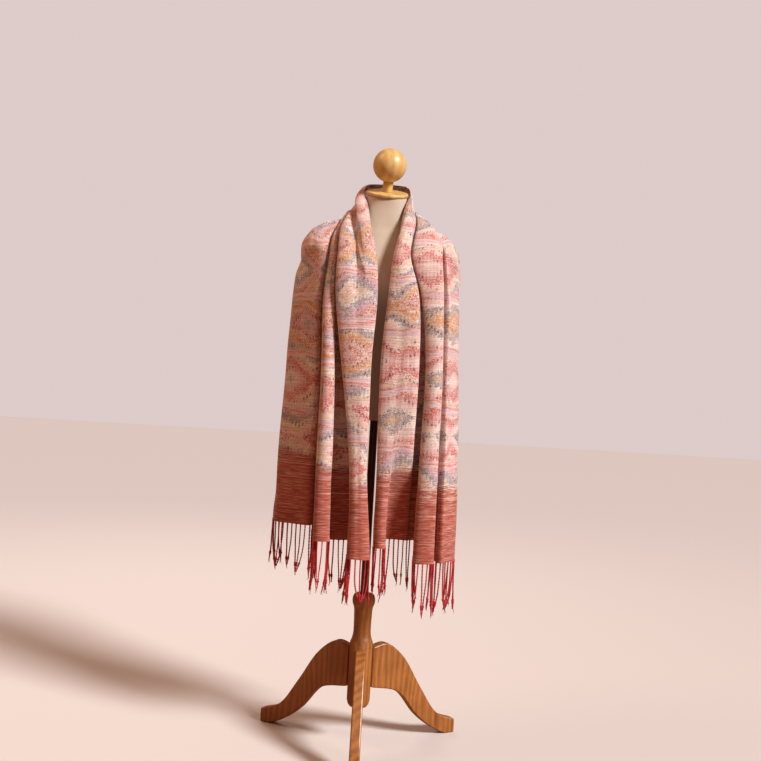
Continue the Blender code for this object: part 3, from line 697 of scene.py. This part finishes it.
def torso_point(ring, angle):
    power = 2 / TORSO_SQUARE
    c, s = math.cos(angle), math.sin(angle)
    x = ring["half"] * math.copysign(abs(c) ** power, c)
    depth = ring["front"] if s < 0 else ring["back"]
    y = depth * math.copysign(abs(s) ** power, s)
    if s < 0:
        away = math.hypot(abs(x) - BUST_SIDE, ring["height"] - BUST_HEIGHT) / BUST_SPREAD
        y -= BUST_RISE * math.exp(-away ** 2) * abs(s)
    share = max(0.0, (ring["height"] - NECK_ROOT) / (NECK_TOP - NECK_ROOT))
    return tilted((x, y, ring["height"]), ring["height"], NECK_TILT * share, NECK_LEAN * share)


def form_torso(finish):
    """The covered form: smooth rings, seams down both sides and the middle of the back."""
    rings = spline(TORSO_RINGS, [TORSO_FINE_STEPS] * (len(TORSO_RINGS) - 1))
    points = []
    for values in rings:
        ring = named(TORSO_COLUMNS, values)
        for k in range(TORSO_FINE_SIDES):
            angle = 2 * math.pi * k / TORSO_FINE_SIDES
            x, y, z = torso_point(ring, angle)
            near = min(abs(angle - seam) for seam in (0.0, math.pi / 2, math.pi, 2 * math.pi))
            groove = SEAM_DEEP * math.exp(-(near * FORM_RADIUS / SEAM_WIDE) ** 2)
            scale = 1 - (TORSO_INSET + groove) / math.hypot(x, y)
            points.append((x * scale, y * scale, z))
    faces = tube_faces(len(rings), TORSO_FINE_SIDES, rising=True)
    mesh = mesh_of("form_cover", move_to_pole(points), faces)
    mesh.shade_smooth()
    mesh.set_sharp_from_angle(angle=SHARP_ANGLE)
    return new_object("form_cover", mesh, finish, smooth=False)


def turned(name, profile, finish, place=None):
    """A closed solid turned about its own Z, from (radius, height) pairs, top first."""
    profile = np.asarray(profile, float)
    angle = 2 * math.pi * np.arange(TURNED_SIDES) / TURNED_SIDES
    points = np.stack([profile[:, :1] * np.cos(angle), profile[:, :1] * np.sin(angle),
                       np.repeat(profile[:, 1:], TURNED_SIDES, axis=1)], axis=2).reshape(-1, 3)
    mesh = mesh_of(name, points, tube_faces(len(profile), TURNED_SIDES))
    mesh.transform(place or Matrix.Translation((0, POLE_Y, 0)))
    mesh.shade_smooth()
    mesh.set_sharp_from_angle(angle=SHARP_ANGLE)
    return new_object(name, mesh, finish, smooth=False)


def rounded(radius, low, high, edge, steps=6):
    """Profile of a disc or post with rounded edges, top first."""
    angles = np.linspace(0, math.pi / 2, steps + 1)
    top = [(radius - edge * (1 - math.sin(a)), high - edge * (1 - math.cos(a))) for a in angles]
    under = [(radius - edge * (1 - math.cos(a)), low + edge * (1 - math.sin(a))) for a in angles]
    return top + under


def finial(finish):
    neck = Matrix.Translation((0, POLE_Y, NECK_TOP)) @ Euler((NECK_TILT, NECK_LEAN, 0)).to_matrix().to_4x4()
    base = SEAM_GAP
    cap = turned("neck_cap_wood", rounded(CAP_RADIUS, base, base + CAP_THICK, CAP_EDGE), finish, neck)
    foot = base + CAP_THICK + SEAM_GAP
    post = turned("finial_post_wood", rounded(POST_RADIUS, foot, foot + POST_HIGH, POST_EDGE), finish, neck)
    flat = math.acos(BALL_FLAT / BALL_RADIUS)
    centre = foot + POST_HIGH + SEAM_GAP + BALL_RADIUS * math.sin(flat)
    angles = np.linspace(math.pi / 2 - BALL_TOP_ANGLE, -flat, BALL_RINGS)
    ball = [(BALL_RADIUS * math.cos(a), centre + BALL_RADIUS * math.sin(a)) for a in angles]
    return cap, post, turned("finial_ball_wood", ball, finish, neck)


HUB_PROFILE = (
    (0.0115, 0.395), (0.0225, 0.395), (0.0262, 0.3925), (0.0290, 0.3850), (0.0298, 0.3775),
    (0.0288, 0.3700), (0.0258, 0.3630), (0.0245, 0.3580), (0.0236, 0.3500), (0.0228, 0.3250),
    (0.0225, 0.3000), (0.0232, 0.2900), (0.0255, 0.2800), (0.0300, 0.2680), (0.0300, 0.1200),
    (0.0270, 0.1090), (0.0230, 0.1035), (0.0100, 0.0980),
)
LEG_LONG = LEG_REACH - LEG_SEAT
LEG_TOP = (
    (0.000, 0.255), (0.041, 0.262), (0.093, 0.225), (0.154, 0.135), (0.211, 0.060),
    (LEG_LONG, 0.036),
)
LEG_UNDER = (
    (LEG_LONG, 0.000), (0.243, 0.000), (0.222, 0.008), (0.186, 0.028), (0.144, 0.062),
    (0.082, 0.130), (0.000, 0.150),
)


def leg(name, turn, finish):
    outline = np.vstack([spline(side, [LEG_STEPS] * (len(side) - 1)) for side in (LEG_TOP, LEG_UNDER)])
    outline[:, 1] = np.maximum(outline[:, 1], 0)
    count = len(outline)
    points = [(LEG_SEAT + r, y, z) for y in (LEG_WIDTH / 2, -LEG_WIDTH / 2) for r, z in outline]
    faces = [tuple(range(count)), tuple(range(2 * count - 1, count - 1, -1))]
    faces += [(k, count + k, count + (k + 1) % count, (k + 1) % count) for k in range(count)]
    mesh = mesh_of(name, points, faces)
    piece = new_object(name, mesh, finish)
    piece.matrix_world = Matrix.Translation((0, POLE_Y, 0)) @ Matrix.Rotation(turn, 4, "Z")
    round_over = piece.modifiers.new("edges", "BEVEL")
    round_over.width = LEG_EDGE
    round_over.segments = LEG_EDGE_STEPS
    round_over.limit_method = "ANGLE"
    round_over.angle_limit = LEG_EDGE_ANGLE
    mesh.set_sharp_from_angle(angle=SHARP_ANGLE)
    return piece


def stand(wood, metal):
    pole_top = TORSO_RINGS[0][0] - SEAM_GAP
    pole = turned("pole_metal", rounded(POLE_RADIUS, HUB_TOP + SEAM_GAP, pole_top, POLE_EDGE, steps=3), metal)
    hub = turned("hub_wood", HUB_PROFILE, wood)
    legs = [leg(f"leg_{number}_wood", turn, wood) for number, turn in enumerate(LEG_TURNS, 1)]
    return pole, hub, legs


def srgb(red, green, blue):
    """A linear colour from 0-255 display values."""
    return tuple((c / 255) ** 2.2 for c in (red, green, blue)) + (1.0,)


def feed(tree, slot, item):
    """Links a Term or a node's output to slot, or sets slot to a plain number or colour."""
    if isinstance(item, (Term, bpy.types.NodeSocket)):
        tree.links.new(item.socket if isinstance(item, Term) else item, slot)
    else:
        slot.default_value = item


class Term:
    """A number in a material's node tree that can be used in ordinary arithmetic."""

    def __init__(self, tree, socket):
        self.tree = tree
        self.socket = socket

    def math(self, operation, *others):
        node = self.tree.nodes.new("ShaderNodeMath")
        node.operation = operation
        for slot, item in zip(node.inputs, (self,) + others):
            feed(self.tree, slot, item)
        return Term(self.tree, node.outputs[0])

    def __add__(self, other):
        return self.math("ADD", other)

    def __sub__(self, other):
        return self.math("SUBTRACT", other)

    def __mul__(self, other):
        return self.math("MULTIPLY", other)

    def __truediv__(self, other):
        return self.math("DIVIDE", other)

    __radd__ = __add__
    __rmul__ = __mul__

    def __rsub__(self, other):
        return self * -1.0 + other

    def above(self, edge, soft):
        """0 below edge, 1 above it, with a soft step."""
        return ((self - (edge - soft / 2)) / soft).math("MINIMUM", 1.0).math("MAXIMUM", 0.0)

    def below(self, edge, soft):
        return 1.0 - self.above(edge, soft)

    def inside(self, low, high, soft):
        return self.above(low, soft) * self.below(high, soft)

    def sine(self):
        return self.math("SINE")

    def wave(self, length):
        """A triangle wave from 0 to 1 and back."""
        return self.math("PINGPONG", length / 2) / (length / 2)


class Material:
    """A procedural material under one Principled shader."""

    def __init__(self, name, roughness, **settings):
        self.data = bpy.data.materials.new(name)
        self.data.use_nodes = True
        self.tree = self.data.node_tree
        self.shader = self.tree.nodes["Principled BSDF"]
        self.shader.inputs["Roughness"].default_value = roughness
        for key, value in settings.items():
            self.shader.inputs[key.replace("_", " ").title().replace("Ior", "IOR")].default_value = value

    def link(self, source, target):
        feed(self.tree, target, source)

    def coordinates(self):
        node = self.tree.nodes.new("ShaderNodeTexCoord")
        return self.parts(node.outputs["Object"])

    def weave(self):
        node = self.tree.nodes.new("ShaderNodeUVMap")
        node.uv_map = "weave"
        return self.parts(node.outputs["UV"])

    def parts(self, vector):
        node = self.tree.nodes.new("ShaderNodeSeparateXYZ")
        self.link(vector, node.inputs[0])
        return [Term(self.tree, out) for out in node.outputs]

    def vector(self, *parts):
        node = self.tree.nodes.new("ShaderNodeCombineXYZ")
        for slot, item in zip(node.inputs, parts):
            feed(self.tree, slot, item)
        return node.outputs[0]

    def noise(self, *parts, detail=2.0):
        node = self.tree.nodes.new("ShaderNodeTexNoise")
        node.inputs["Scale"].default_value = 1.0
        node.inputs["Detail"].default_value = detail
        self.link(self.vector(*parts), node.inputs["Vector"])
        return Term(self.tree, node.outputs["Fac"])

    def chance(self, *parts):
        """A steady random number for each cell."""
        node = self.tree.nodes.new("ShaderNodeTexWhiteNoise")
        self.link(self.vector(*parts), node.inputs["Vector"])
        return Term(self.tree, node.outputs["Value"])

    def ramp(self, place, stops, kind="LINEAR"):
        """Colour at place, from (position, colour) stops."""
        node = self.tree.nodes.new("ShaderNodeValToRGB")
        node.color_ramp.interpolation = kind
        marks = node.color_ramp.elements
        while len(marks) < len(stops):
            marks.new(1.0)
        for mark, (position, colour) in zip(marks, stops):
            mark.position = position
            mark.color = colour
        self.link(place, node.inputs[0])
        return node.outputs[0]

    def mix(self, share, first, second, kind="MIX"):
        node = self.tree.nodes.new("ShaderNodeMix")
        node.data_type = "RGBA"
        node.blend_type = kind
        for slot, item in ((0, share), (6, first), (7, second)):
            feed(self.tree, node.inputs[slot], item)
        return node.outputs[2]

    def finish(self, colour, height, distance, strength):
        self.link(colour, self.shader.inputs["Base Color"])
        node = self.tree.nodes.new("ShaderNodeBump")
        node.inputs["Strength"].default_value = strength
        node.inputs["Distance"].default_value = distance
        self.link(height, node.inputs["Height"])
        self.link(node.outputs["Normal"], self.shader.inputs["Normal"])
        return self.data


# Colours of the yarns, as display values
ROSE = srgb(216, 160, 158)
BLUSH = srgb(232, 200, 196)
CORAL = srgb(200, 106, 94)
RUST = srgb(180, 100, 70)
ORANGE = srgb(209, 144, 96)
OCHRE = srgb(214, 182, 148)
CREAM = srgb(236, 222, 210)
SLATE = srgb(152, 144, 152)
LILAC = srgb(206, 176, 190)
PLUM = srgb(86, 42, 46)
TERRACOTTA = srgb(166, 78, 60)
SALMON = srgb(208, 130, 108)
BRICK = srgb(138, 50, 40)

# Order of the yarns through a serrated motif, from its middle outward
MOTIF_COLOURS = (
    (0.00, ORANGE), (0.09, OCHRE), (0.14, SLATE), (0.23, CREAM), (0.29, BLUSH), (0.36, ROSE),
    (0.43, CORAL), (0.51, BLUSH), (0.58, OCHRE), (0.63, CREAM), (0.69, SLATE), (0.78, LILAC),
    (0.84, ROSE), (0.90, RUST), (0.95, BLUSH),
)
BAND_COLOURS = ((0.00, LILAC), (0.25, BLUSH), (0.48, ROSE), (0.60, CORAL), (0.70, BLUSH), (0.90, LILAC))

# Rows of motifs with a plain striped stretch in each, teeth, the lines in the band and the weave's grain
REPEAT = 0.142
PLAIN_SHARE = 0.15
MOTIF_WIDE = 0.158
MOTIF_SLOPE = 0.50
TOOTH_WIDE = 0.0110
TOOTH_HIGH = 0.0080
COLOUR_RUN = 0.190
BAND_LINES = (BAND_HIGH, BAND_HIGH - 0.024, BAND_HIGH - 0.029, 0.118)
GRAIN_WIDE = 0.0026
GRAIN_HIGH = 0.0017


def woven_cloth():
    """Serrated motifs in rows, striped stretches between them and a streaked band at each hem."""
    cloth = Material("woven_cloth", 0.82, sheen_weight=0.25, sheen_roughness=0.5, specular_ior_level=0.2)
    u, v, _ = cloth.weave()
    from_hem = (v - CLOTH_LONG / 2).math("ABSOLUTE") * -1.0 + CLOTH_LONG / 2
    streak = cloth.noise(u * 22.0, v * 620.0, 0.0, detail=3.0)
    long_streak = cloth.noise(u * 7.0, v * 260.0, 3.0)
    drift = cloth.noise(u * 6.0, v * 9.0, 6.0)
    step = (v / GRAIN_HIGH).math("FLOOR")
    grain = cloth.chance((u / GRAIN_WIDE + step * 0.5).math("FLOOR"), step, 4.0)
    place = v + (drift - 0.5) * 0.056
    row = (place / REPEAT).math("FLOOR")
    within = place - row * REPEAT
    tooth = u.wave(TOOTH_WIDE)
    slide = u + cloth.chance(row, 1.0, 0.0) * MOTIF_WIDE + (drift - 0.5) * 0.075
    zigzag = slide.wave(MOTIF_WIDE) * (MOTIF_WIDE / 2 * MOTIF_SLOPE)
    centre = REPEAT * (1 + PLAIN_SHARE) / 2
    span = (within - centre).math("ABSOLUTE") + zigzag + tooth * TOOTH_HIGH
    loose = span + (grain - 0.5) * 0.011 + (streak - 0.5) * 0.046
    start = cloth.chance(row, 3.0, 2.0) + cloth.noise(u * 5.0, row * 3.7, 7.0) * 0.7
    run = (loose / COLOUR_RUN + start).math("FRACT")
    motif = cloth.ramp(run, MOTIF_COLOURS, "CONSTANT")
    plain_run = (within / (REPEAT * PLAIN_SHARE) * 0.8 + start * 0.4 + (streak - 0.5) * 0.7).math("FRACT")
    plain = cloth.ramp(plain_run, BAND_COLOURS)
    is_plain = (within + (tooth - 0.5) * 0.003 + (streak - 0.5) * 0.008).below(REPEAT * PLAIN_SHARE, 0.002)
    colour = cloth.mix(is_plain, motif, plain)
    ring = (span / 0.033).math("FRACT")
    fleck = ring.inside(0.02, 0.22, 0.05) * tooth.above(0.52, 0.1)
    fleck = fleck * cloth.noise(u * 30.0, v * 30.0, 1.0).above(0.50, 0.05) * (1.0 - is_plain)
    colour = cloth.mix(fleck * 0.85, colour, PLUM)
    glint = ring.inside(0.50, 0.66, 0.05) * tooth.below(0.45, 0.1)
    glint = glint * cloth.noise(u * 40.0, v * 40.0, 8.0).above(0.54, 0.05) * (1.0 - is_plain)
    colour = cloth.mix(glint * 0.85, colour, CREAM)
    speck = grain.above(0.74, 0.02) * 0.55
    colour = cloth.mix(speck, colour, CREAM)
    pepper = grain.below(0.13, 0.02) * (1.0 - is_plain) * 0.42
    colour = cloth.mix(pepper, colour, SLATE)
    broken = cloth.noise(u * 34.0, v * 700.0, 5.0)
    colour = cloth.mix(broken.above(0.58, 0.10) * 0.34, colour, BLUSH)
    edge = from_hem + (drift - 0.5) * 0.020 + (streak - 0.5) * 0.16
    band = cloth.mix(broken.above(0.52, 0.12) * 0.68, TERRACOTTA, SALMON)
    band = cloth.mix(long_streak.above(0.55, 0.12) * 0.50, band, BRICK)
    band = cloth.mix(streak.above(0.58, 0.06) * 0.50, band, BLUSH)
    colour = cloth.mix(edge.below(BAND_HIGH, 0.002), colour, band)
    strip = cloth.noise(u * 12.0, v * 90.0, 11.0).above(0.62, 0.05) * edge.inside(0.10, BAND_HIGH, 0.03)
    colour = cloth.mix(strip * 0.35, colour, OCHRE)
    for line in BAND_LINES:
        drawn = (from_hem + (drift - 0.5) * 0.008).inside(line, line + 0.0015, 0.0006)
        colour = cloth.mix(drawn * long_streak.above(0.40, 0.10) * 0.7, colour, BLUSH)
    shade = cloth.noise(u * 3.0, v * 320.0, 9.0, detail=3.0)
    tone = cloth.ramp(shade, ((0.30, srgb(216, 204, 202)), (0.70, srgb(255, 255, 255))))
    colour = cloth.mix(1.0, colour, tone, "MULTIPLY")
    rib = (v * (2 * math.pi / 0.00125)).sine() * 0.5 + (u * (2 * math.pi / 0.00090)).sine() * 0.35
    height = rib + streak * 1.6 + grain * 0.6
    return cloth.finish(colour, height, distance=0.00024, strength=0.7)


def red_cord():
    cord = Material("red_cord", 0.75, sheen_weight=0.3, specular_ior_level=0.25)
    x, y, z = cord.coordinates()
    hue = cord.noise(x * 140.0, y * 140.0, z * 60.0, detail=3.0)
    colour = cord.ramp(hue, ((0.30, srgb(120, 14, 22)), (0.52, srgb(172, 24, 34)), (0.72, srgb(204, 60, 60))))
    fibre = cord.noise(x * 1500.0, y * 1500.0, z * 700.0)
    return cord.finish(colour, fibre, distance=0.0004, strength=0.6)


def form_jersey():
    jersey = Material("form_cover", 0.72, sheen_weight=0.15, specular_ior_level=0.3)
    x, y, z = jersey.coordinates()
    age = jersey.noise(x * 9.0, y * 9.0, z * 5.0, detail=4.0)
    colour = jersey.ramp(age, ((0.25, srgb(176, 160, 142)), (0.75, srgb(196, 180, 162))))
    knit = jersey.noise(x * 900.0, y * 900.0, z * 1400.0, detail=1.0)
    return jersey.finish(colour, knit, distance=0.00015, strength=0.5)


def wood(name, light, dark, coat, grain):
    """Turned or sawn wood with its grain along the piece."""
    timber = Material(name, 0.42, coat_weight=coat, coat_roughness=0.35)
    x, y, z = timber.coordinates()
    bend = timber.noise(x * 9.0, y * 9.0, z * 3.0)
    rings = ((x + y * 0.5 + bend * 0.060) * (grain * 2 * math.pi)).sine() * 0.5 + 0.5
    fine = timber.noise(x * 300.0, y * 300.0, z * 12.0, detail=4.0)
    cloud = timber.noise(x * 22.0, y * 22.0, z * 16.0, detail=3.0)
    share = rings * 0.16 + fine * 0.44 + cloud * 0.40
    colour = timber.ramp(share, ((0.28, dark), (0.68, light)))
    spots = timber.noise(x * 90.0, y * 90.0, z * 70.0)
    colour = timber.mix(spots.above(0.68, 0.08) * 0.35, colour, dark)
    return timber.finish(colour, fine, distance=0.00003, strength=0.15)


def dark_metal():
    metal = Material("dark_metal", 0.42, metallic=0.85)
    x, y, z = metal.coordinates()
    draw = metal.noise(x * 900.0, y * 900.0, z * 18.0, detail=3.0)
    colour = metal.ramp(draw, ((0.30, srgb(66, 52, 50)), (0.75, srgb(104, 88, 84))))
    return metal.finish(colour, draw, distance=0.00008, strength=0.3)


def add_camera():
    camera = bpy.data.objects.new("camera", bpy.data.cameras.new("camera"))
    camera.data.lens = CAMERA_LENS
    camera.data.sensor_width = SENSOR
    x, y, z = CAMERA_PLACE
    place = Matrix.Translation((x, POLE_Y + y, z))
    camera.matrix_world = place @ Matrix.Rotation(math.pi / 2, 4, "X") @ Matrix.Rotation(CAMERA_ROLL, 4, "Z")
    bpy.context.scene.collection.objects.link(camera)
    bpy.context.scene.camera = camera


# The key light is a soft sun: the side it comes from, its height, spread, strength and colour
KEY_SIDE = math.radians(54)
KEY_HEIGHT = math.radians(34)
KEY_SPREAD = math.radians(14)
KEY_STRENGTH = 4.9
KEY_COLOUR = (1.0, 0.99, 0.97)

# Area lights: place, size, power, colour, all aimed at LIGHT_TARGET
LIGHT_TARGET = (0.0, 0.0, 1.0)
LIGHTS = (
    ("front_light", (0.6, -3.2, 2.2), 1.6, 5.0, (1.0, 0.78, 0.60)),
    ("left_light", (-1.3, -0.3, 2.9), 0.7, 15.0, (1.0, 0.70, 0.46)),
    ("back_light", (-1.0, 2.6, 3.0), 1.6, 30.0, (1.0, 0.86, 0.74)),
)
BACKGROUND = (0.72, 0.60, 0.59, 1.0)
AMBIENT = (1.0, 0.42, 0.26, 1.0)
AMBIENT_STRENGTH = 0.24
FLOOR_HALF = 14.0
FLOOR_COLOUR = (0.66, 0.60, 0.58, 1.0)
FLOOR_BOUNCE = (0.34, 0.17, 0.10, 1.0)


def add_light(data, place, target):
    lamp = bpy.data.objects.new(data.name, data)
    lamp.location = place
    lamp.rotation_mode = "QUATERNION"
    lamp.rotation_quaternion = (Vector(target) - Vector(place)).to_track_quat("-Z", "Y")
    bpy.context.scene.collection.objects.link(lamp)
    return lamp


def shade_apart(tree, unseen, seen, surface):
    """The camera sees one shader on a surface, and the light in the scene another."""
    rays = tree.nodes.new("ShaderNodeLightPath")
    either = tree.nodes.new("ShaderNodeMixShader")
    tree.links.new(rays.outputs["Is Camera Ray"], either.inputs[0])
    tree.links.new(unseen.outputs[0], either.inputs[1])
    tree.links.new(seen.outputs[0], either.inputs[2])
    tree.links.new(either.outputs[0], surface)


def add_lights():
    key = bpy.data.lights.new("key_light", "SUN")
    key.angle = KEY_SPREAD
    key.energy = KEY_STRENGTH
    key.color = KEY_COLOUR
    away = Vector((math.sin(KEY_SIDE), -math.cos(KEY_SIDE), math.tan(KEY_HEIGHT)))
    add_light(key, Vector(LIGHT_TARGET) + 4 * away, LIGHT_TARGET)
    for name, place, size, power, colour in LIGHTS:
        data = bpy.data.lights.new(name, "AREA")
        data.size = size
        data.energy = power
        data.color = colour
        add_light(data, place, LIGHT_TARGET).visible_glossy = name != "back_light"
    world = bpy.data.worlds.new("studio")
    world.use_nodes = True
    tree = world.node_tree
    ambient = tree.nodes["Background"]
    ambient.inputs["Color"].default_value = AMBIENT
    ambient.inputs["Strength"].default_value = AMBIENT_STRENGTH
    seen = tree.nodes.new("ShaderNodeBackground")
    seen.inputs["Color"].default_value = BACKGROUND
    shade_apart(tree, ambient, seen, tree.nodes["World Output"].inputs["Surface"])
    bpy.context.scene.world = world
    bpy.context.scene.view_settings.view_transform = "Standard"


def add_floor():
    corners = [(x * FLOOR_HALF, y * FLOOR_HALF, 0.0) for x, y in ((-1, -1), (1, -1), (1, 1), (-1, 1))]
    floor = Material("floor", 0.9, specular_ior_level=0.1)
    floor.shader.inputs["Base Color"].default_value = FLOOR_COLOUR
    bounce = floor.tree.nodes.new("ShaderNodeBsdfDiffuse")
    bounce.inputs["Color"].default_value = FLOOR_BOUNCE
    surface = floor.tree.nodes["Material Output"].inputs["Surface"]
    shade_apart(floor.tree, bounce, floor.shader, surface)
    piece = new_object("floor", mesh_of("floor", corners, [(0, 1, 2, 3)]), floor.data)


def fit_out():
    """Makes every piece with its finish, hides the part of the model it takes the place of, and parents it to
    the root body.
    """
    fabric, cord, jersey = woven_cloth(), red_cord(), form_jersey()
    maple = wood("pale_wood", srgb(218, 184, 116), srgb(184, 142, 84), coat=0.2, grain=40.0)
    stained = wood("stand_wood", srgb(168, 108, 54), srgb(110, 62, 28), coat=0.4, grain=60.0)
    metal = dark_metal()
    grid, normals, weave = cloth()
    cuts = (0, FRONT_ROWS, len(grid) - 1 - FRONT_ROWS, len(grid) - 1)
    names = ("shawl_left", "shawl_over", "shawl_right")
    nodes = ("shawl_left_front", "shawl_back", "shawl_right_front")
    cloths = []
    for name, node, start, end in zip(names, nodes, cuts, cuts[1:]):
        rows = slice(start, end + 1)
        piece = shell(name, grid[rows], normals[rows], weave[rows], fabric)
        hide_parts(node)
        cloths.append(piece)
    left = fringe("fringe_left_cords", grid[0], normals[0], 11, cord)
    right = fringe("fringe_right_cords", grid[-1], normals[-1], 29, cord)
    for piece, node in ((left, "fringe_left"), (right, "fringe_right")):
        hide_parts(node)
    torso = form_torso(jersey)
    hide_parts("form_torso")
    cap, post, ball = finial(maple)
    for piece, node in ((cap, "neck_cap"), (post, "finial_post"), (ball, "finial_ball")):
        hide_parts(node)
    pole, hub, legs = stand(stained, metal)
    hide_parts("pole")
    for piece, node in ((hub, "hub"), *zip(legs, ("leg_1", "leg_2", "leg_3"))):
        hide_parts(node)
    for piece in (*cloths, left, right, torso, cap, post, ball, pole, hub, *legs):
        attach(piece, "root")
    for piece, start, end, extra in zip(cloths, cuts, cuts[1:], ([left], [], [right])):
        long = float(np.mean(weave[end, :, 1] - weave[start, :, 1]))


def main():
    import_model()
    add_camera()
    add_lights()
    add_floor()
    fit_out()


main()
